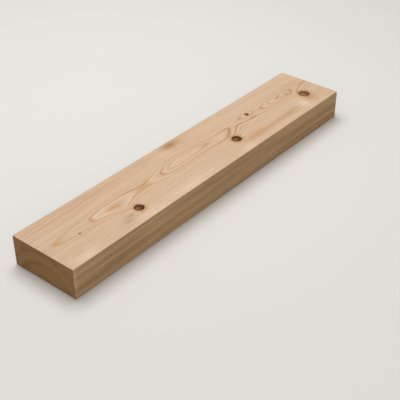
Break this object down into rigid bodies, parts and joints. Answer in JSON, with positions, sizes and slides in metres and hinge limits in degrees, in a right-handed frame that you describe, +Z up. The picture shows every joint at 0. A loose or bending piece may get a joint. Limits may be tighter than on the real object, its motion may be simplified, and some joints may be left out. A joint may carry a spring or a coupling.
{
  "type": "sawn softwood plank",
  "caption": "Short plank of knotty sawn softwood with square cut ends and nearly sharp arrises, for framing, shelving or carpentry.",
  "frame": {"origin": "centre of the underside", "axes": "+X along the grain from the near sawn end to the far one, +Y across the width, +Z up through the thickness to the knotty face"},
  "size_m": [0.81, 0.15, 0.063],
  "materials": {
    "softwood": "matte"
  },
  "bodies": {
    "root": {"plank": "softwood"}
  },
  "joints": []
}
